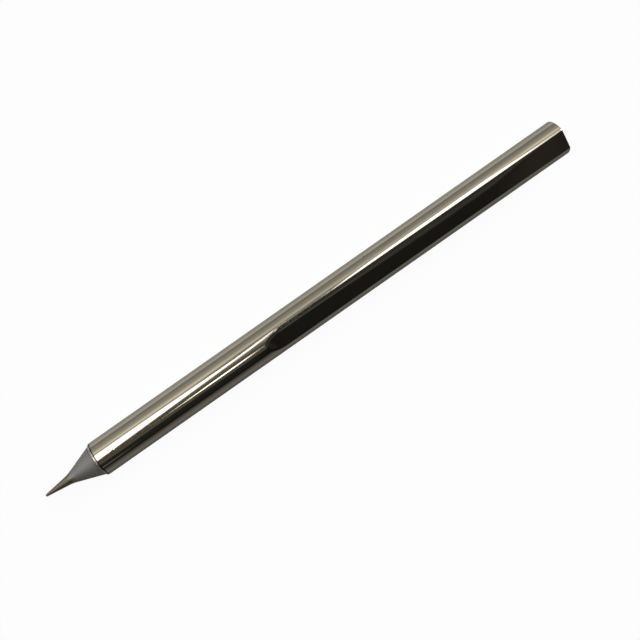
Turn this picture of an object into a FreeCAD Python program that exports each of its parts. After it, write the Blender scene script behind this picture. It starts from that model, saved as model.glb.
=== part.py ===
"""Plug-in soldering iron tip, turned from one rod and plated.

The rod lies along X. The origin is the centre of its rear face, +X points to the
working point and +Z is the outward direction of the set screw's flat. Millimetres.
"""

import FreeCAD
import Part
import Sketcher
import math
import os

NODE = "soldering_tip"
START, END, MIDDLE = range(1, 4)
SKETCH_ORIGIN = (-1, START)
SKETCH_NORMAL = FreeCAD.Vector(0, 0, 1)
UPWARD = math.pi / 2
PLACE_TOLERANCE = 1e-4

# Driving dimensions in millimetres: name, value, what it measures
DIMENSIONS = (
    ("shank_diameter", 4.76, "round shank that plugs into the iron"),
    ("shank_length", 71.52, "rear face to the start of the rounded shoulder"),
    ("rear_edge_radius", 0.18, "rounding all round the rear face"),
    ("shoulder_length", 0.48, "rounded shoulder, measured along the axis"),
    ("shoulder_drop", 0.23, "how much smaller in radius the cone starts"),
    ("cone_length", 4.2, "shoulder to the corner between cone and point"),
    ("point_root_diameter", 1.38, "diameter at that corner"),
    ("neck_blend_radius", 5.4, "hollow blend that takes the corner's place"),
    ("point_length", 3.8, "that corner to the very end"),
    ("point_end_radius", 0.19, "ball at the very end"),
    ("flat_depth", 0.32, "how deep the flat is cut into the shank"),
    ("flat_length", 43.2, "level stretch of the flat, from the rear face"),
    ("flat_cutter_radius", 9.5, "wheel that leaves the flat's run-out"),
    ("flat_edge_radius", 1.45, "edge all round the flat, buffed well over"),
    ("cutter_overrun", 1.0, "how far the cut starts outside the rod"),
)

# Sizes that follow from them
DERIVED = (
    ("shank_radius", "=shank_diameter / 2"),
    ("cone_start", "=shank_length + shoulder_length"),
    ("cone_root_radius", "=shank_radius - shoulder_drop"),
    ("point_start", "=cone_start + cone_length"),
    ("point_root_radius", "=point_root_diameter / 2"),
    ("overall_length", "=point_start + point_length"),
    ("flat_height", "=shank_radius - flat_depth"),
    ("cut_top", "=shank_radius + cutter_overrun"),
)


def make_sheet(doc):
    """Put the driving dimensions and the sizes that follow from them in a sheet."""
    sheet = doc.addObject("Spreadsheet::Sheet", "Dimensions")
    for row, (name, value, meaning) in enumerate(DIMENSIONS, start=1):
        sheet.set(f"A{row}", name)
        sheet.set(f"B{row}", str(value))
        sheet.set(f"C{row}", meaning)
        sheet.setAlias(f"B{row}", name)
    for row, (name, formula) in enumerate(DERIVED, start=len(DIMENSIONS) + 1):
        sheet.set(f"A{row}", name)
        sheet.set(f"B{row}", formula)
        sheet.setAlias(f"B{row}", name)
    doc.recompute()
    return sheet


def point(along, up=0.0):
    """A point of a sketch: distance along the rod, and height over its axis."""
    return FreeCAD.Vector(along, up, 0)


def circle(centre, size):
    """A circle of a sketch, from which an arc is taken."""
    return Part.Circle(centre, SKETCH_NORMAL, size)


def new_sketch(body, name):
    """Add a sketch on the body's own upright plane along the rod."""
    sketch = body.newObject("Sketcher::SketchObject", name)
    plane = next(p for p in body.Origin.OriginFeatures if p.Role == "XZ_Plane")
    sketch.AttachmentSupport = (plane, [""])
    sketch.MapMode = "FlatFace"
    return sketch


def close_loop(sketch, corners):
    """Join the curves of an outline: pairs of (curve, end) that meet."""
    for first, second in corners:
        sketch.addConstraint(Sketcher.Constraint("Coincident", *first, *second))


def measure(sketch, sheet, sizes):
    """Hold distances at cells of the sheet: kind, from where, to where, cell."""
    for kind, first, second, cell in sizes:
        value = getattr(sheet, cell)
        rule = Sketcher.Constraint(kind, *first, *second, value)
        place = sketch.addConstraint(rule)
        sketch.setExpression(f"Constraints[{place}]", f"Dimensions.{cell}")


def hold_radius(sketch, sheet, curve, cell):
    """Hold an arc's radius at a cell of the sheet."""
    rule = Sketcher.Constraint("Radius", curve, getattr(sheet, cell))
    place = sketch.addConstraint(rule)
    sketch.setExpression(f"Constraints[{place}]", f"Dimensions.{cell}")


def turned_profile(body, sheet):
    """Half outline of the turned rod, from the rear face to the rounded end."""
    sketch = new_sketch(body, "TurnedProfile")
    shank, drop = sheet.shank_radius, sheet.shoulder_drop
    end_radius = sheet.point_end_radius

    # The shoulder's arc leaves the shank level and falls by the drop
    shoulder = (sheet.shoulder_length**2 + drop**2) / (2 * drop)
    sweep = math.acos(1 - drop / shoulder)
    shoulder_centre = point(sheet.shank_length, shank - shoulder)
    cone_root = point(sheet.cone_start, sheet.cone_root_radius)
    corner = point(sheet.point_start, sheet.point_root_radius)

    # The point's side leaves the corner and touches the ball at its end
    ball_centre = point(sheet.overall_length - end_radius)
    to_ball = ball_centre - corner
    slope = math.atan2(-to_ball.y, to_ball.x) - math.asin(end_radius / to_ball.Length)
    lean = UPWARD - slope
    touch = ball_centre + point(end_radius * math.cos(lean), end_radius * math.sin(lean))

    curves = (
        Part.LineSegment(point(0), point(sheet.overall_length)),
        Part.LineSegment(point(0), point(0, shank)),
        Part.LineSegment(point(0, shank), point(sheet.shank_length, shank)),
        Part.ArcOfCircle(circle(shoulder_centre, shoulder), UPWARD - sweep, UPWARD),
        Part.LineSegment(cone_root, corner),
        Part.LineSegment(corner, touch),
        Part.ArcOfCircle(circle(ball_centre, end_radius), 0, lean),
    )
    places = sketch.addGeometry(list(curves), False)
    axis, rear, side, rounding, cone, needle, ball = places

    close_loop(
        sketch,
        (
            (SKETCH_ORIGIN, (axis, START)),
            ((axis, START), (rear, START)),
            ((rear, END), (side, START)),
            ((rounding, START), (cone, START)),
            ((cone, END), (needle, START)),
            ((ball, START), (axis, END)),
        ),
    )
    for rule in (
        ("Horizontal", axis),
        ("Vertical", rear),
        ("Horizontal", side),
        ("Tangent", side, END, rounding, END),
        ("Tangent", needle, END, ball, END),
        ("PointOnObject", ball, MIDDLE, axis),
    ):
        sketch.addConstraint(Sketcher.Constraint(*rule))
    measure(
        sketch,
        sheet,
        (
            ("DistanceY", SKETCH_ORIGIN, (rear, END), "shank_radius"),
            ("DistanceX", SKETCH_ORIGIN, (side, END), "shank_length"),
            ("DistanceX", SKETCH_ORIGIN, (cone, START), "cone_start"),
            ("DistanceY", SKETCH_ORIGIN, (cone, START), "cone_root_radius"),
            ("DistanceX", SKETCH_ORIGIN, (cone, END), "point_start"),
            ("DistanceY", SKETCH_ORIGIN, (cone, END), "point_root_radius"),
            ("DistanceX", SKETCH_ORIGIN, (axis, END), "overall_length"),
        ),
    )
    hold_radius(sketch, sheet, ball, "point_end_radius")
    return sketch


def flat_profile(body, sheet):
    """Side view of what the cutting wheel takes away above the flat."""
    sketch = new_sketch(body, "FlatProfile")
    wheel, rear = sheet.flat_cutter_radius, -sheet.cutter_overrun
    wheel_centre = point(sheet.flat_length, sheet.flat_height + wheel)
    turn = math.acos(1 - (sheet.cut_top - sheet.flat_height) / wheel)
    level_end = point(sheet.flat_length, sheet.flat_height)
    far_corner = point(sheet.flat_length + wheel * math.sin(turn), sheet.cut_top)
    curves = (
        Part.LineSegment(point(rear, sheet.flat_height), level_end),
        Part.ArcOfCircle(circle(wheel_centre, wheel), -UPWARD, turn - UPWARD),
        Part.LineSegment(far_corner, point(rear, sheet.cut_top)),
        Part.LineSegment(point(rear, sheet.cut_top), point(rear, sheet.flat_height)),
    )
    level, run_out, lid, back = sketch.addGeometry(list(curves), False)

    close_loop(
        sketch,
        (
            ((run_out, END), (lid, START)),
            ((lid, END), (back, START)),
            ((back, END), (level, START)),
        ),
    )
    for rule in (
        ("Horizontal", level),
        ("Tangent", level, END, run_out, START),
        ("Horizontal", lid),
        ("Vertical", back),
    ):
        sketch.addConstraint(Sketcher.Constraint(*rule))
    measure(
        sketch,
        sheet,
        (
            ("DistanceY", SKETCH_ORIGIN, (level, START), "flat_height"),
            ("DistanceX", SKETCH_ORIGIN, (level, END), "flat_length"),
            ("DistanceX", (back, START), SKETCH_ORIGIN, "cutter_overrun"),
            ("DistanceY", SKETCH_ORIGIN, (lid, START), "cut_top"),
        ),
    )
    hold_radius(sketch, sheet, run_out, "flat_cutter_radius")
    return sketch


def round_edges(body, name, cell, picks):
    """Round the edges of the body so far for which picks(edge) holds."""
    base = body.Tip
    numbered = enumerate(base.Shape.Edges, start=1)
    edges = [f"Edge{number}" for number, edge in numbered if picks(edge)]
    if not edges:
        raise RuntimeError(f"{name} found no edge to round")
    fillet = body.newObject("PartDesign::Fillet", name)
    fillet.Base = (base, edges)
    fillet.setExpression("Radius", f"Dimensions.{cell}")
    body.Document.recompute()
    return fillet


def cut_flat(body, sheet):
    """Cut the set screw's flat right across the shank, and see that it did cut."""
    uncut = body.Tip.Shape.Volume
    profile = flat_profile(body, sheet)
    flat = body.newObject("PartDesign::Pocket", "SetScrewFlat")
    flat.Profile = profile
    flat.Type = "ThroughAll"
    flat.Midplane = True
    body.Document.recompute()
    if flat.Shape.Volume >= uncut:
        raise RuntimeError("the flat's cut removed nothing")


def make_tip(doc, sheet):
    """Turn the rod, blend its neck, cut the flat and round the edges."""
    body = doc.addObject("PartDesign::Body", "Tip")
    body.Label = NODE
    body.Placement = FreeCAD.Placement()

    outline = turned_profile(body, sheet)
    rod = body.newObject("PartDesign::Revolution", "TurnedRod")
    rod.Profile = outline
    rod.ReferenceAxis = (outline, ["H_Axis"])
    rod.Angle = 360
    doc.recompute()

    def at_neck(edge):
        """Whether an edge is the circle between cone and point."""
        ends = edge.BoundBox.XMin, edge.BoundBox.XMax
        return all(abs(end - sheet.point_start) < PLACE_TOLERANCE for end in ends)

    def at_flat(edge):
        """Whether an edge is where the flat or its run-out meets the round shank."""
        middle = edge.valueAt((edge.FirstParameter + edge.LastParameter) / 2)
        box = edge.BoundBox
        off_shank = abs(math.hypot(middle.y, middle.z) - sheet.shank_radius)
        # A seam of the round surface lies straight over the axis, and has no width
        width = max(abs(middle.y), box.YLength)
        drop = sheet.flat_height - box.ZMin
        return max(off_shank, drop) < PLACE_TOLERANCE < width

    def at_rear(edge):
        """Whether an edge lies in the plane of the rear face."""
        return edge.BoundBox.XMax < PLACE_TOLERANCE

    round_edges(body, "NeckBlend", "neck_blend_radius", at_neck)
    cut_flat(body, sheet)
    round_edges(body, "FlatEdges", "flat_edge_radius", at_flat)
    round_edges(body, "RearEdge", "rear_edge_radius", at_rear)
    return body


def check(doc, body):
    """Stop if any object failed, or if the solid isn't one closed valid solid."""
    bad = {"Invalid", "Error"}
    failed = [item.Name for item in doc.Objects if bad & set(item.State)]
    if failed:
        raise RuntimeError(f"these objects failed: {failed}")
    shape = body.Shape
    if shape.isNull() or not shape.isValid() or len(shape.Solids) != 1:
        raise RuntimeError(f"{body.Label} isn't one valid solid")


def main():
    """Build the document, check every object and write the solid."""
    doc = FreeCAD.newDocument("SolderingTip")
    sheet = make_sheet(doc)
    body = make_tip(doc, sheet)
    check(doc, body)
    os.makedirs("parts", exist_ok=True)
    body.Shape.exportStep(f"parts/{body.Label}.step")
    print(f"{body.Label}: {body.Shape.Volume:.1f} mm3")


main()
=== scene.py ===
"""A plug-in soldering iron tip, dressed and lit as on a pale table in a small studio.

The rod lies along X with its rear face at the origin and its working point at +X, and the
set screw's flat looks up. All lengths in this file are millimetres until they become mesh
coordinates, which are metres.
"""

import logging
import math
from dataclasses import dataclass, field
from enum import Enum

import bpy
import numpy as np
from mathutils import Matrix, Vector


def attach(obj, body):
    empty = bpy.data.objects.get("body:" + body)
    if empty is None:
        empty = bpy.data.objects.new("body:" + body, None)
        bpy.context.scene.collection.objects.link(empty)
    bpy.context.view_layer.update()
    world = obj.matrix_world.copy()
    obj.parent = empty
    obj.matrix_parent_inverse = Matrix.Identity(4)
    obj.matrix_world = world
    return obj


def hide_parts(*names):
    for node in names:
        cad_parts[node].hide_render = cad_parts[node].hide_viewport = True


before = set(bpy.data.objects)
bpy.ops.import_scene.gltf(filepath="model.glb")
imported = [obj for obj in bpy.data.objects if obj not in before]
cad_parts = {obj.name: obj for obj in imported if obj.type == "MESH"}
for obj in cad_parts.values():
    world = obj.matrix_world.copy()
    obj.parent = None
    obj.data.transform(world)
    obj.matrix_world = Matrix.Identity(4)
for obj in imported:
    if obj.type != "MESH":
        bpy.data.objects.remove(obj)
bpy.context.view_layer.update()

log = logging.getLogger("soldering_tip")
NODE = "soldering_tip"
MM = 0.001
ALONG_ROD = Vector((1.0, 0.0, 0.0))
ACROSS_ROD = Vector((0.0, 1.0, 0.0))
PLAIN_WHITE = (1.0, 1.0, 1.0, 1.0)
Numbers = tuple[float, float, float]
Span = tuple[float, float]


class Zone(Enum):
    """Stretches of the rod, by the finish that they carry."""

    SHANK = 0
    WORKING_END = 1


class Socket(Enum):
    """The inputs of the surface shader that a finish sets or drives."""

    COLOUR = "Base Color"
    METAL = "Metallic"
    ROUGHNESS = "Roughness"
    NORMAL = "Normal"
    COAT = "Coat Weight"
    COAT_ROUGHNESS = "Coat Roughness"


class Mixed(Enum):
    """What a Mix node mixes: its data type, its two inputs and its output by number."""

    COLOUR = ("RGBA", 6, 7, 2)
    NUMBER = ("FLOAT", 2, 3, 0)


def smooth_step(value: np.ndarray, low: float, high: float) -> np.ndarray:
    """Rise smoothly from 0 to 1, as 3t squared less 2t cubed.

    Args:
        value: where the step is wanted.
        low: where it leaves 0.
        high: where it reaches 1.

    Returns:
        The step at each value.
    """
    t = np.clip((value - low) / (high - low), 0.0, 1.0)
    return t * t * (3.0 - 2.0 * t)


class NodeSheet:
    """A node tree with short calls for the nodes that this file uses."""

    def __init__(self, tree: bpy.types.NodeTree) -> None:
        """Keep the tree and empty it."""
        self.tree = tree
        tree.nodes.clear()

    def add(self, kind: str, **settings: object) -> bpy.types.Node:
        """Add a node and set its properties.

        Args:
            kind: the node's type name.
            settings: properties of the node, by name.

        Returns:
            The new node.
        """
        node = self.tree.nodes.new(kind)
        for name, value in settings.items():
            setattr(node, name, value)
        return node

    def feed(self, socket: bpy.types.NodeSocket, value: object) -> None:
        """Link an output to an input, or set the input to a plain value.

        Args:
            socket: the input.
            value: an output, or a number, vector or colour.
        """
        if isinstance(value, bpy.types.NodeSocket):
            self.tree.links.new(value, socket)
        else:
            socket.default_value = value

    def math(self, rule: str, *values: object) -> bpy.types.NodeSocket:
        """Add a Math node.

        Args:
            rule: its operation.
            values: its inputs in order, each an output or a number.

        Returns:
            Its result.
        """
        node = self.add("ShaderNodeMath", operation=rule)
        for socket, value in zip(node.inputs, values):
            self.feed(socket, value)
        return node.outputs[0]

    def dot(self, vector: bpy.types.NodeSocket, axis: Vector) -> bpy.types.NodeSocket:
        """Take the length of a vector along an axis.

        Args:
            vector: the vector.
            axis: the axis, one unit long.

        Returns:
            The length.
        """
        node = self.add("ShaderNodeVectorMath", operation="DOT_PRODUCT")
        self.feed(node.inputs[0], vector)
        node.inputs[1].default_value = axis
        return node.outputs["Value"]

    def millimetres(
        self, place: bpy.types.NodeSocket, axis: Vector
    ) -> bpy.types.NodeSocket:
        """How far a place lies along an axis, in millimetres."""
        return self.math("MULTIPLY", self.dot(place, axis), 1 / MM)

    def gap(self, place: bpy.types.NodeSocket, spot: Numbers) -> bpy.types.NodeSocket:
        """Measure the distance to a spot.

        Args:
            place: where it is measured from, in metres.
            spot: the spot, in millimetres.

        Returns:
            The distance in metres.
        """
        node = self.add("ShaderNodeVectorMath", operation="DISTANCE")
        self.feed(node.inputs[0], place)
        node.inputs[1].default_value = Vector(spot) * MM
        return node.outputs["Value"]

    def step(
        self,
        value: bpy.types.NodeSocket,
        low: float,
        high: float,
        start: float = 0.0,
        end: float = 1.0,
    ) -> bpy.types.NodeSocket:
        """Map a value smoothly from one range to another.

        Args:
            value: what is mapped.
            low: where the change starts.
            high: where it ends.
            start: the result at low.
            end: the result at high.

        Returns:
            The mapped value.
        """
        node = self.add("ShaderNodeMapRange", interpolation_type="SMOOTHSTEP")
        self.feed(node.inputs["Value"], value)
        for name, number in (
            ("From Min", low),
            ("From Max", high),
            ("To Min", start),
            ("To Max", end),
        ):
            node.inputs[name].default_value = number
        return node.outputs["Result"]

    def ramp(
        self,
        value: bpy.types.NodeSocket,
        low: float,
        high: float,
        stops: list[tuple[float, Numbers]],
    ) -> bpy.types.NodeSocket:
        """Look a colour up between stops.

        Args:
            value: where to look.
            low: the value at the ramp's start.
            high: the value at its end.
            stops: pairs of value and colour, in rising order.

        Returns:
            The colour.
        """
        place = self.add("ShaderNodeMapRange")
        self.feed(place.inputs["Value"], value)
        place.inputs["From Min"].default_value = low
        place.inputs["From Max"].default_value = high
        node = self.add("ShaderNodeValToRGB")
        self.feed(node.inputs["Fac"], place.outputs["Result"])
        elements = node.color_ramp.elements
        while len(elements) < len(stops):
            elements.new(0.5)
        for element, (at, colour) in zip(elements, stops):
            element.position = (at - low) / (high - low)
            element.color = (*colour, 1.0)
        return node.outputs["Color"]

    def mix(
        self, share: object, first: object, second: object, kind: Mixed = Mixed.COLOUR
    ) -> bpy.types.NodeSocket:
        """Mix two colours or two numbers.

        Args:
            share: how much of the second, an output or a number.
            first: the value at share 0.
            second: the value at share 1.
            kind: what is mixed.

        Returns:
            The mixed value.
        """
        data_type, at_first, at_second, result = kind.value
        node = self.add("ShaderNodeMix", data_type=data_type)
        self.feed(node.inputs[0], share)
        self.feed(node.inputs[at_first], first)
        self.feed(node.inputs[at_second], second)
        return node.outputs[result]

    def scaled(
        self, colour: bpy.types.NodeSocket, times: object
    ) -> bpy.types.NodeSocket:
        """Multiply a colour or a vector by a number.

        Args:
            colour: the colour or vector.
            times: the number, or an output that gives it.

        Returns:
            The product.
        """
        node = self.add("ShaderNodeVectorMath", operation="SCALE")
        self.feed(node.inputs[0], colour)
        self.feed(node.inputs["Scale"], times)
        return node.outputs[0]

    def noise(
        self, place: bpy.types.NodeSocket, stretch: Numbers, detail: float
    ) -> bpy.types.NodeSocket:
        """Noise that is finer along some axes than along others.

        Args:
            place: where it is read, in metres.
            stretch: how many grains there are to the metre along each axis.
            detail: how many finer layers it has.

        Returns:
            The noise, about 0 to 1.
        """
        scale = self.add("ShaderNodeVectorMath", operation="MULTIPLY")
        self.feed(scale.inputs[0], place)
        scale.inputs[1].default_value = stretch
        node = self.add("ShaderNodeTexNoise")
        self.feed(node.inputs["Vector"], scale.outputs[0])
        node.inputs["Scale"].default_value = 1.0
        node.inputs["Detail"].default_value = detail
        return node.outputs["Fac"]

    def bump(
        self, height: bpy.types.NodeSocket, depth: float, strength: float
    ) -> bpy.types.NodeSocket:
        """Turn a height into a bent normal.

        Args:
            height: the height, 0 to 1.
            depth: how many millimetres that is.
            strength: how much of the effect is kept.

        Returns:
            The normal.
        """
        node = self.add("ShaderNodeBump")
        self.feed(node.inputs["Height"], height)
        node.inputs["Distance"].default_value = depth * MM
        node.inputs["Strength"].default_value = strength
        return node.outputs["Normal"]


def surface(name: str) -> tuple[bpy.types.Material, NodeSheet, bpy.types.Node]:
    """Make a material with one surface shader.

    Args:
        name: the material's name.

    Returns:
        The material, its nodes and the shader.
    """
    material = bpy.data.materials.new(name)
    material.use_nodes = True
    sheet = NodeSheet(material.node_tree)
    shader = sheet.add("ShaderNodeBsdfPrincipled")
    out = sheet.add("ShaderNodeOutputMaterial")
    sheet.feed(out.inputs["Surface"], shader.outputs[0])
    return material, sheet, shader


@dataclass(frozen=True)
class PolishedNickel:
    """Bright warm nickel plating on the shank, with the faint lines of its polishing.

    Places and depths are in millimetres, and a grain is how many grains there are to the
    metre along the rod and across it. The crease is the stretch of the rod that is painted
    dark as shade, in the colour of the speck's dirt. The speck and the dent are spots, and
    their fades are distances from them.
    """

    colour: Numbers = (0.70, 0.645, 0.535)
    tarnish: Numbers = (0.66, 0.615, 0.50)
    tarnish_grain: Numbers = (260.0, 900.0, 900.0)
    tarnish_range: Span = (0.35, 0.7)
    # Dark colour of the speck's real dirt, also painted into the crease as shade
    speck_dirt_and_crease_shade: Numbers = (0.05, 0.043, 0.035)
    crease: Span = (71.5, 71.68)
    crease_fade: float = 0.03
    speck: Numbers = (29.44, -2.225, 0.845)
    speck_fade: Span = (0.04, 0.13)
    speck_share: float = 0.8
    roughness: Span = (0.064, 0.1)
    line_grain: Numbers = (2600.0, 350.0, 350.0)
    line_range: Span = (0.2, 0.8)
    line_depth: float = 0.000006
    dent: Numbers = (69.09, -0.769, 2.252)
    dent_fade: Span = (0.02, 0.28)
    dent_depth: float = 0.003

    def tint(
        self, sheet: NodeSheet, place: bpy.types.NodeSocket
    ) -> bpy.types.NodeSocket:
        """Colour the plating: a drifting tint, painted shade in the crease, and dirt on
        the speck.

        Args:
            sheet: the material's nodes.
            place: where on the piece, in metres.

        Returns:
            The colour.
        """
        drift = sheet.noise(place, self.tarnish_grain, 3.0)
        share = sheet.step(drift, *self.tarnish_range)
        colour = sheet.mix(share, (*self.colour, 1.0), (*self.tarnish, 1.0))
        along = sheet.millimetres(place, ALONG_ROD)
        # Painted shade: the crease is painted dark in the dirt colour, as if shade fell in
        # it
        start, end = self.crease
        begun = sheet.step(along, start, start + self.crease_fade)
        not_over = sheet.step(along, end - self.crease_fade, end, 1.0, 0.0)
        near, far = (distance * MM for distance in self.speck_fade)
        spot = sheet.step(sheet.gap(place, self.speck), near, far, self.speck_share, 0.0)
        dirt_and_crease_shade = sheet.math("MAXIMUM", sheet.math("MULTIPLY", begun, not_over), spot)
        return sheet.mix(dirt_and_crease_shade, colour, (*self.speck_dirt_and_crease_shade, 1.0))

    def make(self) -> bpy.types.Material:
        """Build the material.

        In words: a noise of lines round the rod drives the roughness and, very faintly,
        the height; the dent is a hollow that rises smoothly with the distance from it.

        Returns:
            The material.
        """
        material, sheet, shader = surface("polished_nickel")
        place = sheet.add("ShaderNodeTexCoord").outputs["Object"]
        sheet.feed(shader.inputs[Socket.COLOUR.value], self.tint(sheet, place))
        shader.inputs[Socket.METAL.value].default_value = 1.0
        lines = sheet.noise(place, self.line_grain, 2.0)
        rough = sheet.step(lines, *self.line_range, *self.roughness)
        sheet.feed(shader.inputs[Socket.ROUGHNESS.value], rough)
        near, far = (distance * MM for distance in self.dent_fade)
        hollow = sheet.step(sheet.gap(place, self.dent), near, far)
        lines_share = self.line_depth / self.dent_depth
        height = sheet.math("MULTIPLY_ADD", lines, lines_share, hollow)
        bend = sheet.bump(height, self.dent_depth, 1.0)
        sheet.feed(shader.inputs[Socket.NORMAL.value], bend)
        return material


@dataclass(frozen=True)
class WorkingEndPlating:
    """Matte grey plating on the cone, a bright ring at its root and tin on the point.

    Places are in millimetres along the rod. The ring gives way to a thin darker line and
    the line to the plating, each over its fade. The tin's fade is read at a place that a
    ragged noise carries forward by up to tin_wander.
    """

    ring: Numbers = (0.78, 0.75, 0.67)
    ring_fade: Span = (71.95, 72.03)
    line: Numbers = (0.2, 0.195, 0.182)
    line_fade: Span = (72.06, 72.16)
    matte: Numbers = (0.30, 0.30, 0.282)
    tin: Numbers = (0.385, 0.34, 0.27)
    tin_fade: Span = (75.65, 76.65)
    tin_wander: float = 0.9
    ragged_grain: Numbers = (1500.0, 2600.0, 2600.0)
    cone_metal: float = 0.5
    cone_coat: float = 0.7
    coat_roughness: float = 0.4
    ring_roughness: float = 0.13
    cone_roughness: float = 0.55
    tin_roughness: Span = (0.26, 0.34)
    matte_grain: Numbers = (14000.0, 14000.0, 14000.0)
    grain_depth: float = 0.002
    grain_strength: float = 0.6

    def make(self) -> bpy.types.Material:
        """Build the material, whose finishes follow each other along the rod.

        Returns:
            The material.
        """
        material, sheet, shader = surface("working_end_plating")
        place = sheet.add("ShaderNodeTexCoord").outputs["Object"]
        along = sheet.millimetres(place, ALONG_ROD)
        ragged = sheet.noise(place, self.ragged_grain, 3.0)
        wander = sheet.math("MULTIPLY_ADD", ragged, self.tin_wander, along)
        off_ring = sheet.step(along, *self.ring_fade)
        off_line = sheet.step(along, *self.line_fade)
        on_tin = sheet.step(wander, *self.tin_fade)
        on_cone = sheet.math("SUBTRACT", off_ring, on_tin)

        bare = sheet.mix(off_line, (*self.line, 1.0), (*self.matte, 1.0))
        plated = sheet.mix(off_ring, (*self.ring, 1.0), bare)
        colour = sheet.mix(on_tin, plated, (*self.tin, 1.0))
        sheet.feed(shader.inputs[Socket.COLOUR.value], colour)
        metal = sheet.math("MULTIPLY_ADD", on_cone, self.cone_metal - 1.0, 1.0)
        sheet.feed(shader.inputs[Socket.METAL.value], metal)
        coat = sheet.math("MULTIPLY", on_cone, self.cone_coat)
        sheet.feed(shader.inputs[Socket.COAT.value], coat)
        shader.inputs[Socket.COAT_ROUGHNESS.value].default_value = self.coat_roughness

        grain = sheet.noise(place, self.matte_grain, 2.0)
        duller = self.cone_roughness - self.ring_roughness
        dull = sheet.math("MULTIPLY_ADD", off_ring, duller, self.ring_roughness)
        least, most = self.tin_roughness
        tinned = sheet.math("MULTIPLY_ADD", grain, most - least, least)
        rough = sheet.mix(on_tin, dull, tinned, Mixed.NUMBER)
        sheet.feed(shader.inputs[Socket.ROUGHNESS.value], rough)
        height = sheet.math("MULTIPLY", grain, off_ring)
        bend = sheet.bump(height, self.grain_depth, self.grain_strength)
        sheet.feed(shader.inputs[Socket.NORMAL.value], bend)
        return material


Finish = PolishedNickel | WorkingEndPlating


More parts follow.
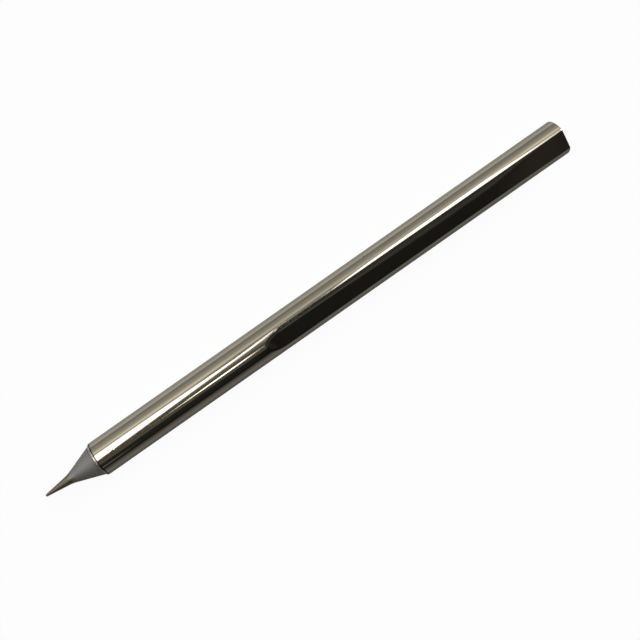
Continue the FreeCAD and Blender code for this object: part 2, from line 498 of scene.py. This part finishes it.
@dataclass
class TurnedTip:
    """The whole tip: shank with its flat, shoulder, groove, cone, hollow neck and point.

    All sizes are millimetres, apart from rear_twist, which is in degrees, side_reach,
    which is in radians, and slow_share and far_sharper, which are shares of 1. Each Span
    is the stretch of the rod over which a change takes place. far_edge and near_edge give
    the softness of the flat's two edges at the rear, along the middle and at the run-out.
    The working end's finish starts finish_gap past the middle of the groove.
    """

    radius: float = 2.38
    shank_end: float = 71.52
    rear_edge: float = 0.18
    cone_start: float = 72.0
    cone_root: float = 2.15
    corner: float = 76.2
    corner_radius: float = 0.665
    neck_blend: float = 5.4
    length: float = 80.0
    ball: float = 0.175

    groove_at: float = 71.60
    groove_depth: float = 0.05
    groove_half_width: float = 0.065
    finish_gap: float = 0.08
    bead_at: float = 71.83
    bead_height: float = 0.042
    bead_half_width: float = 0.12

    flat_depth: float = 0.33
    rear_depth: float = 0.05
    rear_twist: float = 2.0
    rear_reach: float = 12.0
    level_end: float = 43.6
    wheel: float = 7.5
    slow_share: float = 0.25
    slow_span: Span = (45.9, 47.6)

    far_edge: Numbers = (0.02, 0.41, 0.22)
    near_edge: Numbers = (0.012, 0.08, 0.11)
    edge_growth: Span = (0.3, 13.0)
    edge_fall: Span = (18.0, 42.0)
    side_reach: float = 0.35
    far_sharper: float = 0.38
    sharper_span: Span = (43.2, 44.4)
    far_lift: float = 0.05
    lift_rise: Span = (43.2, 44.3)
    lift_fall: Span = (44.3, 45.9)

    columns: int = 320
    finishes: dict[Zone, Finish] = field(
        default_factory=lambda: {
            Zone.SHANK: PolishedNickel(),
            Zone.WORKING_END: WorkingEndPlating(),
        }
    )

    def shoulder(self, x: np.ndarray) -> np.ndarray:
        """The radius from the shank over the shoulder to the cone's root.

        In words: the rod's radius, then a circle's arc that leaves it level and falls by
        the shoulder's drop; a fine groove and, after it, a low bead, each a raised cosine,
        are taken off and put on.

        Args:
            x: distances along the rod.

        Returns:
            The radius at each.
        """
        drop = self.radius - self.cone_root
        rise = self.cone_start - self.shank_end
        arc = (rise**2 + drop**2) / (2 * drop)
        past = np.clip(x - self.shank_end, 0, rise)
        radius = self.radius - arc + np.sqrt(arc**2 - past**2)
        dip = np.clip(np.abs(x - self.groove_at) / self.groove_half_width, 0, 1)
        bulge = np.clip(np.abs(x - self.bead_at) / self.bead_half_width, 0, 1)
        radius = radius - self.groove_depth * 0.5 * (1 + np.cos(np.pi * dip))
        return radius + self.bead_height * 0.5 * (1 + np.cos(np.pi * bulge))

    def shank_rings(self) -> np.ndarray:
        """Where the shank's rings lie, closest together over the flat's run-out.

        Returns:
            Distances along the rod, rising.
        """
        return np.concatenate(
            (
                self.rear_edge + np.array([0.03, 0.1, 0.3]),
                np.linspace(1.0, self.level_end - 1.4, 56),
                np.linspace(self.level_end - 1.0, self.level_end + 5.0, 110),
                np.linspace(50.0, self.shank_end - 0.6, 14),
                self.shank_end - np.array([0.2, 0.06]),
            )
        )

    def outline(self) -> tuple[np.ndarray, np.ndarray]:
        """The turned outline from the rear rounding's end to the point's ball.

        In words: a level line; the shoulder; a straight cone; the hollow blend, an arc
        that touches the cone and the point's side; the point's straight side; and a
        ball that the side touches.

        Returns:
            Distances along the rod and radii there, both in millimetres.
        """
        cone_slope = self.cone_root - self.corner_radius
        cone_slope = cone_slope / (self.corner - self.cone_start)
        cone_angle = math.atan(cone_slope)
        centre = self.length - self.ball
        reach = math.hypot(centre - self.corner, self.corner_radius)
        point_angle = math.atan2(self.corner_radius, centre - self.corner)
        point_angle -= math.asin(self.ball / reach)
        tangent = self.neck_blend * math.tan((cone_angle - point_angle) / 2)
        neck_start = self.corner - tangent * math.cos(cone_angle)
        neck_end = self.corner + tangent * math.cos(point_angle)

        shank_x = self.shank_rings()
        shoulder_x = np.linspace(self.shank_end, self.cone_start + 0.04, 34)
        cone_x = np.concatenate(
            (
                self.cone_start + np.array([0.07, 0.12, 0.2, 0.4]),
                np.linspace(self.cone_start + 1.0, neck_start - 0.02, 12),
            )
        )
        cone_r = self.cone_root - (cone_x - self.cone_start) * cone_slope

        angles = np.linspace(cone_angle, point_angle, 17)
        blend_x = neck_start + self.neck_blend * (math.sin(cone_angle) - np.sin(angles))
        blend_r = self.corner_radius + tangent * math.sin(cone_angle)
        blend_r = blend_r - self.neck_blend * (np.cos(angles) - math.cos(cone_angle))

        touch = centre + self.ball * math.sin(point_angle)
        side_x = np.linspace(neck_end, touch, 26)[1:]
        side_r = self.corner_radius - (side_x - self.corner) * math.tan(point_angle)
        ball_angle = np.linspace(math.pi / 2 - point_angle, 0, 12)[1:-1]
        ball_x = centre + self.ball * np.cos(ball_angle)
        ball_r = self.ball * np.sin(ball_angle)

        x = np.concatenate((shank_x, shoulder_x, cone_x, blend_x, side_x, ball_x))
        shank_r = self.shoulder(shank_x)
        shoulder_r = self.shoulder(shoulder_x)
        r = np.concatenate((shank_r, shoulder_r, cone_r, blend_r, side_r, ball_r))
        return x, r

    def depth(self, x: np.ndarray) -> np.ndarray:
        """How deep the flat lies under the round rod; negative where it is off the rod.

        In words: the flat's depth, a little more near the rear, up to the level part's
        end, and from there less by the wheel's circle, the radius less the root of its
        square less that of the way gone. Over the slow span that rise becomes a share
        less, so the flat leaves the rod more slowly.

        Args:
            x: distances along the rod.

        Returns:
            The depth at each.
        """
        # The circle stays short of its steep end, which lies far outside the rod
        past = np.clip(x - self.level_end, 0, self.wheel * 0.9)
        rise = self.wheel - np.sqrt(self.wheel**2 - past**2)
        rise = rise - self.slow_share * rise * smooth_step(x, *self.slow_span)
        deeper = self.rear_depth * (1 - smooth_step(x, 0, self.rear_reach))
        return self.flat_depth + deeper - rise

    def section(self, x: np.ndarray, r: np.ndarray, angle: np.ndarray) -> np.ndarray:
        """The distance of the surface from the axis, over the grid of x and angle.

        In words: the angle is counted from the flat's normal, which turns a little near
        the rear. A ray meets the flat at its height over the cosine and the rod at the
        rod's radius. The surface is the nearer one, and where the two differ by less than
        the softness k it is less by (k - difference) squared over 4k, which buffs the
        edge. The softness is small at the rear, grows and falls again to the run-out, and
        differs between the flat's two sides with a smooth change between them. On the far
        side it falls a share more over the sharper span, and there the flat rises by the
        lift and sinks back again.

        Args:
            x: distances along the rod.
            r: turned radii there.
            angle: angles round the rod.

        Returns:
            An array of distances, one row for each x.
        """
        to_rear = 1 - smooth_step(x, 0, self.rear_reach)
        turned = angle[None, :] + np.radians(self.rear_twist) * to_rear[:, None]
        turned = (turned + np.pi) % (2 * np.pi) - np.pi
        far, near = (
            rear
            + (middle - rear) * smooth_step(x, *self.edge_growth)
            + (front - middle) * smooth_step(x, *self.edge_fall)
            for rear, middle, front in (self.far_edge, self.near_edge)
        )
        far = far * (1 - self.far_sharper * smooth_step(x, *self.sharper_span))
        side = smooth_step(turned, -self.side_reach, self.side_reach)
        k = near[:, None] + (far - near)[:, None] * side
        lift = smooth_step(x, *self.lift_rise) - smooth_step(x, *self.lift_fall)
        height = (self.radius - self.depth(x))[:, None]
        height = height + self.far_lift * lift[:, None] * side
        # Rays that point away from the flat never meet it, and only have to stay finite
        level = height / np.maximum(np.cos(turned), 0.2)
        nearer = np.minimum(level, self.radius)
        close = np.maximum(k - np.abs(level - self.radius), 0)
        cut = nearer - close**2 / (4 * k)
        return r[:, None] - self.radius + cut

    def grid(self) -> tuple[np.ndarray, np.ndarray]:
        """Points of the closed surface as rows of one ring each, and the two poles.

        In words: the first rings lie in the rear face and grow from its centre; the next
        follow the rear edge's quarter circle, inwards along the section's own normal; the
        others are the sections along the turned outline.

        Returns:
            Rings as an array (rows, columns, 3) and the two poles, in millimetres.
        """
        angle = np.linspace(0, 2 * np.pi, self.columns, endpoint=False)
        x, r = self.outline()
        distance = self.section(x, r, angle)
        unit = np.stack((np.zeros_like(angle), -np.sin(angle), np.cos(angle)), -1)
        body = distance[..., None] * unit
        body[..., 0] = x[:, None]

        base = self.section(np.zeros(1), np.full(1, self.radius), angle)[0]
        rim = base[:, None] * unit
        along = np.roll(rim, -1, axis=0) - np.roll(rim, 1, axis=0)
        normal = np.cross(along, np.array([1.0, 0.0, 0.0]))
        normal /= np.linalg.norm(normal, axis=1, keepdims=True)
        normal *= np.sign(np.sum(normal * unit, axis=1, keepdims=True))
        turn = np.linspace(0, np.pi / 2, 9)[:, None, None]
        edge = rim - normal * self.rear_edge * (1 - np.sin(turn))
        edge[..., 0] = self.rear_edge * (1 - np.cos(turn[..., 0]))

        share = np.array([0.25, 0.5, 0.75, 0.92, 0.985])[:, None, None]
        face = edge[0] * share
        face[..., 0] = 0.0
        rings = np.concatenate((face, edge, body))
        poles = np.array([[0.0, 0.0, 0.0], [self.length, 0.0, 0.0]])
        return rings, poles

    def build(self) -> bpy.types.Object:
        """Put the grid into a mesh of quads with a fan of triangles at each pole.

        Returns:
            The piece, with its mesh and no finish yet.
        """
        rings, poles = self.grid()
        rows, columns = rings.shape[:2]
        points = np.concatenate((rings.reshape(-1, 3), poles)) * MM
        number = np.arange(rows * columns).reshape(rows, columns)
        following = np.roll(number, -1, axis=1)
        quads = np.stack(
            (number[:-1], following[:-1], following[1:], number[1:]), -1
        ).reshape(-1, 4)
        rear_pole = np.full(columns, rows * columns)
        rear = np.stack((rear_pole, following[0], number[0]), -1)
        front = np.stack((rear_pole + 1, number[-1], following[-1]), -1)
        mesh = bpy.data.meshes.new("dressed_tip")
        mesh.from_pydata(points, [], [*quads.tolist(), *rear.tolist(), *front.tolist()])
        mesh.update()
        tip = bpy.data.objects.new("dressed_tip", mesh)
        bpy.context.scene.collection.objects.link(tip)
        return tip

    def dress(self, tip: bpy.types.Object) -> None:
        """Shade the piece smoothly and give each face its stretch's finish.

        Args:
            tip: the piece.
        """
        mesh = tip.data
        middle = np.zeros(len(mesh.polygons) * 3)
        mesh.polygons.foreach_get("center", middle)
        change = (self.groove_at + self.finish_gap) * MM
        zone = np.where(
            middle[::3] < change, Zone.SHANK.value, Zone.WORKING_END.value
        )
        mesh.polygons.foreach_set("use_smooth", np.ones(len(zone), dtype=bool))
        for place in sorted(self.finishes, key=lambda item: item.value):
            mesh.materials.append(self.finishes[place].make())
        mesh.polygons.foreach_set("material_index", zone.astype(np.int32))

    def place(self, tip: bpy.types.Object) -> None:
        """Let the piece ride on the root and stand for the CAD node.

        Args:
            tip: the piece.
        """
        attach(tip, "root")
        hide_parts(NODE)


@dataclass
class Viewpoint:
    """Where the photograph was taken from.

    The rod's axis stays parallel to the picture. The camera stands over the point of the
    rod that is middle millimetres from its rear face and aside millimetres further down
    the picture, distance millimetres away. It leans away from the flat's normal by lean
    degrees, and is turned so that the rod rises to the right: rise is the cosine and the
    sine of that turn. The principal point, in pixels, is what it looks at squarely.
    """

    middle: float = 46.38
    aside: float = 1.75
    distance: float = 112.0
    lean: float = 20.6
    rise: Span = (0.81914826, 0.57358184)
    pixels_per_mm: float = 7.82
    principal: Span = (269.22, 356.37)
    picture: float = 640.0
    sensor: float = 36.0
    clip: Span = (0.005, 20.0)

    def towards(self) -> Vector:
        """The direction from the rod to the camera."""
        lean = math.radians(self.lean)
        return Vector((0.0, -math.sin(lean), math.cos(lean)))

    def across(self) -> Vector:
        """The direction across the rod that points down in the picture."""
        lean = math.radians(self.lean)
        return Vector((0.0, math.cos(lean), math.sin(lean)))

    def build(self) -> bpy.types.Object:
        """Make the camera and let the scene use it.

        In words: the focal length in pixels is the scale times the distance; the shift
        brings the principal point from the picture's middle to its place; the axes are
        those of the rod's rear and the picture's down, turned by the rise.

        Returns:
            The camera.
        """
        data = bpy.data.cameras.new("camera")
        focal = self.pixels_per_mm * self.distance
        data.sensor_width = self.sensor
        data.lens = self.sensor * focal / self.picture
        half = self.picture / 2
        data.shift_x = (half - self.principal[0]) / self.picture
        data.shift_y = (self.principal[1] - half) / self.picture
        data.clip_start, data.clip_end = self.clip
        back, down = self.towards(), self.across()
        rear = -ALONG_ROD
        cosine, sine = self.rise
        right = rear * cosine + down * sine
        up = rear * sine - down * cosine
        turn = Matrix((right, up, back)).transposed()
        camera = bpy.data.objects.new("camera", data)
        place = ALONG_ROD * self.middle + down * self.aside + back * self.distance
        camera.matrix_world = Matrix.Translation(place * MM) @ turn.to_4x4()
        bpy.context.scene.collection.objects.link(camera)
        bpy.context.scene.camera = camera
        return camera


@dataclass(frozen=True)
class SoftPanel:
    """A soft lamp panel, as a patch of the surroundings.

    Its place is given by two angles in degrees, seen from the rod: along, from straight
    over the rod towards its rear, and round, from the camera's side over to the right
    of the rod. Each edge is (a, b, c, width): a line a*along + b*round + c that is
    positive inside, and the width over which the panel fades there.
    """

    name: str
    light: Numbers
    edges: tuple[tuple[float, float, float, float], ...]


# The windows' brightness, and what the polished rod reflects besides the plain walls
WHITE = (2.1, 2.1, 2.15)
PANELS = (
    SoftPanel(
        "front window",
        WHITE,
        (
            (-1.0, 0.0, 1.5, 2.0),
            (0.0, 1.0, 30.2, 2.0),
            (-0.9, 1.0, 22.0, 2.5),
            (-1.86, -1.0, -18.5, 3.0),
            (-7.0, -1.0, -20.7, 3.0),
            (0.0, -1.0, 8.0, 3.0),
            (1.0, 0.0, 18.0, 6.0),
        ),
    ),
    SoftPanel(
        "corner of the front window",
        WHITE,
        (
            (-1.0, 0.0, 1.5, 2.0),
            (3.5, 1.0, 29.3, 2.5),
            (-7.0, -1.0, -20.7, 3.0),
            (0.0, -1.0, -21.0, 2.0),
        ),
    ),
    SoftPanel(
        "glow over the front window",
        (0.34, 0.33, 0.29),
        (
            (-1.0, 0.0, -2.0, 5.0),
            (1.0, 0.0, 20.0, 6.0),
            (0.0, 1.0, 46.0, 6.0),
            (0.0, -1.0, -31.0, 4.0),
        ),
    ),
    SoftPanel(
        "narrow window",
        (3.2, 3.2, 3.1),
        (
            (-1.0, 0.0, -1.05, 1.8),
            (1.0, 0.55, -3.6, 2.0),
            (0.35, 1.0, -12.1, 2.4),
            (-1.5, -1.0, 16.3, 2.4),
            (0.4, -1.0, 21.9, 2.4),
        ),
    ),
    SoftPanel(
        "rear window",
        WHITE,
        (
            (6.0, 0.3, -36.0, 8.0),
            (0.0, 1.0, 31.5, 3.0),
            (1.2, -1.0, -9.5, 5.0),
            (-1.2, -1.0, 30.0, 5.0),
            (0.0, -1.0, 9.0, 5.0),
            (-1.0, 0.0, 21.3, 9.0),
        ),
    ),
    SoftPanel(
        "glow by the rear window",
        (0.33, 0.32, 0.28),
        ((1.0, 0.0, -18.5, 6.0), (0.0, 1.0, 48.0, 8.0), (0.0, -1.0, -27.0, 4.0)),
    ),
    SoftPanel(
        "glow between the windows",
        (0.2, 0.197, 0.18),
        (
            (1.0, 0.0, -0.6, 2.0),
            (-1.0, 0.0, 5.6, 4.0),
            (0.0, 1.0, 35.0, 4.0),
            (0.0, -1.0, -19.0, 5.0),
        ),
    ),
    SoftPanel(
        "pale shelf",
        (0.045, 0.045, 0.04),
        ((-1.0, 0.0, 8.0, 8.0), (0.0, 1.0, -30.5, 3.0), (0.0, -1.0, 37.0, 2.0)),
    ),
    SoftPanel(
        "brown wall",
        (0.052, 0.040, 0.031),
        ((-1.0, 0.0, 1.0, 2.5), (0.0, 1.0, 12.0, 10.0), (0.0, -1.0, 30.0, 16.0)),
    ),
    SoftPanel(
        "dim wall",
        (0.008, 0.008, 0.007),
        ((-1.0, 0.0, -0.5, 1.5), (0.0, 1.0, -20.0, 10.0), (0.0, -1.0, 68.0, 12.0)),
    ),
    SoftPanel(
        "brown corner",
        (0.016, 0.012, 0.009),
        (
            (1.0, 0.0, -19.8, 5.0),
            (-1.0, 0.0, 22.9, 1.2),
            (0.0, 1.0, -4.0, 8.0),
            (0.0, -1.0, 80.0, 8.0),
        ),
    ),
    SoftPanel(
        "soft lamp beyond the rear end",
        (15.0, 14.9, 14.6),
        ((1.0, 0.0, -48.0, 12.0), (0.0, 1.0, 42.0, 12.0), (0.0, -1.0, 3.0, 10.0)),
    ),
    SoftPanel(
        "soft lamp beyond the point",
        (0.90, 0.89, 0.86),
        ((-1.0, 0.0, -42.0, 24.0), (0.0, 1.0, 95.0, 20.0), (0.0, -1.0, 6.0, 30.0)),
    ),
    SoftPanel(
        "pale wall beyond the point",
        (0.10, 0.088, 0.07),
        (
            (-1.0, 0.0, -17.0, 4.0),
            (1.0, 0.0, 34.0, 8.0),
            (0.0, 1.0, 20.0, 20.0),
            (0.0, -1.0, 64.0, 20.0),
        ),
    ),
    SoftPanel(
        "gap between shelves",
        (0.09, 0.09, 0.08),
        (
            (-1.0, 0.0, -11.2, 1.5),
            (1.0, 0.0, 20.0, 6.0),
            (0.0, 1.0, -56.0, 3.0),
            (0.0, -1.0, 66.0, 3.0),
        ),
    ),
)


@dataclass
class Studio:
    """Pale table, soft panels and plain surroundings.

    The surroundings are pairs of the angle round the rod, in degrees, and the colour
    there. The table's painted light and shade are pairs of the distance beside the rod, in
    millimetres, and the grey painted there, which the rod reflects: a bright strip beside
    the rod on its lit side, where the rod throws light down, and darker greys on its
    shadow side.
    """

    view: Viewpoint
    table_height: float = -2.38
    table_size: float = 1500.0
    panels: tuple[SoftPanel, ...] = PANELS
    surroundings: tuple[tuple[float, Numbers], ...] = (
        (-180.0, (0.30, 0.28, 0.25)),
        (-88.0, (0.26, 0.245, 0.215)),
        (-72.0, (0.29, 0.275, 0.24)),
        (-58.0, (0.40, 0.385, 0.35)),
        (-51.0, (0.53, 0.51, 0.46)),
        (-45.0, (0.62, 0.60, 0.55)),
        (-40.0, (0.30, 0.29, 0.26)),
        (-36.0, (0.095, 0.09, 0.083)),
        (-24.0, (0.13, 0.128, 0.12)),
        (-12.0, (0.20, 0.20, 0.19)),
        (-2.0, (0.085, 0.085, 0.08)),
        (7.0, (0.040, 0.040, 0.037)),
        (25.0, (0.030, 0.030, 0.028)),
        (30.5, (0.048, 0.048, 0.045)),
        (33.5, (0.044, 0.044, 0.041)),
        (37.0, (0.0125, 0.0127, 0.0122)),
        (60.0, (0.0085, 0.0088, 0.0088)),
        (74.0, (0.006, 0.006, 0.006)),
        (81.0, (0.062, 0.060, 0.058)),
        (92.0, (0.112, 0.107, 0.105)),
        (108.0, (0.19, 0.183, 0.175)),
        (180.0, (0.22, 0.20, 0.18)),
    )
    table_reach: float = 60.0
    table_glow: float = 0.95
    # Painted light and shade: a bright strip beside the rod on its lit side, darker greys
    # on its shadow side
    table_painted_light_and_shade: tuple[Span, ...] = (
        (-28.0, 0.42),
        (-14.0, 0.31),
        (-9.5, 0.33),
        (-7.0, 0.74),
        (-5.4, 0.59),
        (-3.5, 0.43),
        (7.0, 0.195),
        (36.0, 0.235),
    )

    def panel_mask(
        self,
        sheet: NodeSheet,
        along: bpy.types.NodeSocket,
        turn: bpy.types.NodeSocket,
        panel: SoftPanel,
    ) -> bpy.types.NodeSocket:
        """How far a direction lies inside a panel, as the product of its edges' steps.

        Args:
            sheet: the world's nodes.
            along: the direction's angle along the rod.
            turn: its angle round the rod.
            panel: the panel.

        Returns:
            The mask, 0 outside and 1 well inside.
        """
        mask: object = 1.0
        for a, b, c, width in panel.edges:
            first = sheet.math("MULTIPLY_ADD", along, a, c)
            inside = sheet.math("MULTIPLY_ADD", turn, b, first)
            edge = sheet.step(inside, -width / 2, width / 2)
            mask = sheet.math("MULTIPLY", edge, mask)
        return mask

    def angles(
        self, sheet: NodeSheet
    ) -> tuple[bpy.types.NodeSocket, bpy.types.NodeSocket]:
        """Read where a direction points, seen from the rod.

        In words: the angle along the rod is the arcsine of the direction's part towards
        the rear; the angle round it is the arctangent of its part down the picture over
        its part towards the camera.

        Args:
            sheet: the world's nodes.

        Returns:
            The two angles in degrees.
        """
        way = sheet.add("ShaderNodeTexCoord").outputs["Generated"]
        degrees = 180.0 / math.pi
        rear = sheet.dot(way, -ALONG_ROD)
        along = sheet.math("MULTIPLY", sheet.math("ARCSINE", rear), degrees)
        down = sheet.dot(way, self.view.across())
        back = sheet.dot(way, self.view.towards())
        turn = sheet.math("MULTIPLY", sheet.math("ARCTAN2", down, back), degrees)
        return along, turn

    def light(self) -> None:
        """Make the world: surroundings by direction, panels, and white for the camera."""
        world = bpy.data.worlds.new("studio")
        bpy.context.scene.world = world
        world.use_nodes = True
        sheet = NodeSheet(world.node_tree)
        along, turn = self.angles(sheet)
        total = sheet.ramp(turn, -180.0, 180.0, list(self.surroundings))
        for panel in self.panels:
            mask = self.panel_mask(sheet, along, turn, panel)
            lamp = sheet.add("ShaderNodeCombineXYZ")
            for socket, level in zip(lamp.inputs, panel.light):
                socket.default_value = level
            glow = sheet.scaled(lamp.outputs[0], mask)
            add = sheet.add("ShaderNodeVectorMath", operation="ADD")
            sheet.feed(add.inputs[0], total)
            sheet.feed(add.inputs[1], glow)
            total = add.outputs[0]
        rays = sheet.add("ShaderNodeLightPath").outputs
        seen = sheet.mix(rays["Is Camera Ray"], total, PLAIN_WHITE)
        shine = sheet.add("ShaderNodeBackground")
        sheet.feed(shine.inputs["Color"], seen)
        out = sheet.add("ShaderNodeOutputWorld")
        sheet.feed(out.inputs["Surface"], shine.outputs[0])

    def build_table(self) -> bpy.types.Object:
        """Lay out the table: a flat grid of four squares under the rod.

        Returns:
            The table, undressed.
        """
        half = self.table_size / 2
        steps = np.linspace(-half, half, 3)
        across, along = np.meshgrid(steps, steps)
        height = np.full_like(across, self.table_height)
        points = np.stack((across, along, height), -1).reshape(-1, 3) * MM
        number = np.arange(9).reshape(3, 3)
        quads = np.stack(
            (number[:-1, :-1], number[:-1, 1:], number[1:, 1:], number[1:, :-1]), -1
        ).reshape(-1, 4)
        mesh = bpy.data.meshes.new("table")
        mesh.from_pydata(points, [], quads.tolist())
        mesh.update()
        table = bpy.data.objects.new("table", mesh)
        bpy.context.scene.collection.objects.link(table)
        return table

    def dress_table(self, table: bpy.types.Object) -> None:
        """Paint light and shade beside the rod into the table's grey, and make it nearly
        white where the camera sees it.

        Args:
            table: the table.
        """
        material = bpy.data.materials.new("table_with_painted_light_and_shade")
        material.use_nodes = True
        sheet = NodeSheet(material.node_tree)
        seen = sheet.add("ShaderNodeLightPath").outputs["Is Camera Ray"]
        place = sheet.add("ShaderNodeTexCoord").outputs["Object"]
        aside = sheet.millimetres(place, ACROSS_ROD)
        # Painted light and shade: the table's grey is brighter beside the rod on its lit
        # side and darker on its shadow side
        greys = [(at, (grey, grey, grey)) for at, grey in self.table_painted_light_and_shade]
        grey = sheet.ramp(aside, -self.table_reach, self.table_reach, greys)
        matte = sheet.add("ShaderNodeBsdfDiffuse")
        sheet.feed(matte.inputs["Color"], sheet.mix(seen, grey, PLAIN_WHITE))
        white = sheet.add("ShaderNodeEmission")
        white.inputs["Strength"].default_value = 1.0
        mixed = sheet.add("ShaderNodeMixShader")
        sheet.feed(mixed.inputs[0], sheet.math("MULTIPLY", seen, self.table_glow))
        sheet.feed(mixed.inputs[1], matte.outputs[0])
        sheet.feed(mixed.inputs[2], white.outputs[0])
        out = sheet.add("ShaderNodeOutputMaterial")
        sheet.feed(out.inputs["Surface"], mixed.outputs[0])
        table.data.materials.append(material)


def main() -> None:
    """Build the tip, the studio and the camera, and report each."""
    logging.basicConfig(level=logging.INFO, format="%(message)s")
    bpy.context.scene.view_settings.view_transform = "Standard"
    tip = TurnedTip()
    piece = tip.build()
    tip.dress(piece)
    tip.place(piece)
    log.info("%s: %d faces", piece.name, len(piece.data.polygons))
    view = Viewpoint()
    camera = view.build()
    log.info("%s: lens %.1f mm", camera.name, camera.data.lens)
    studio = Studio(view)
    studio.light()
    table = studio.build_table()
    studio.dress_table(table)
    log.info("%s: %.0f mm wide", table.name, studio.table_size)


if __name__ == "__main__":
    main()
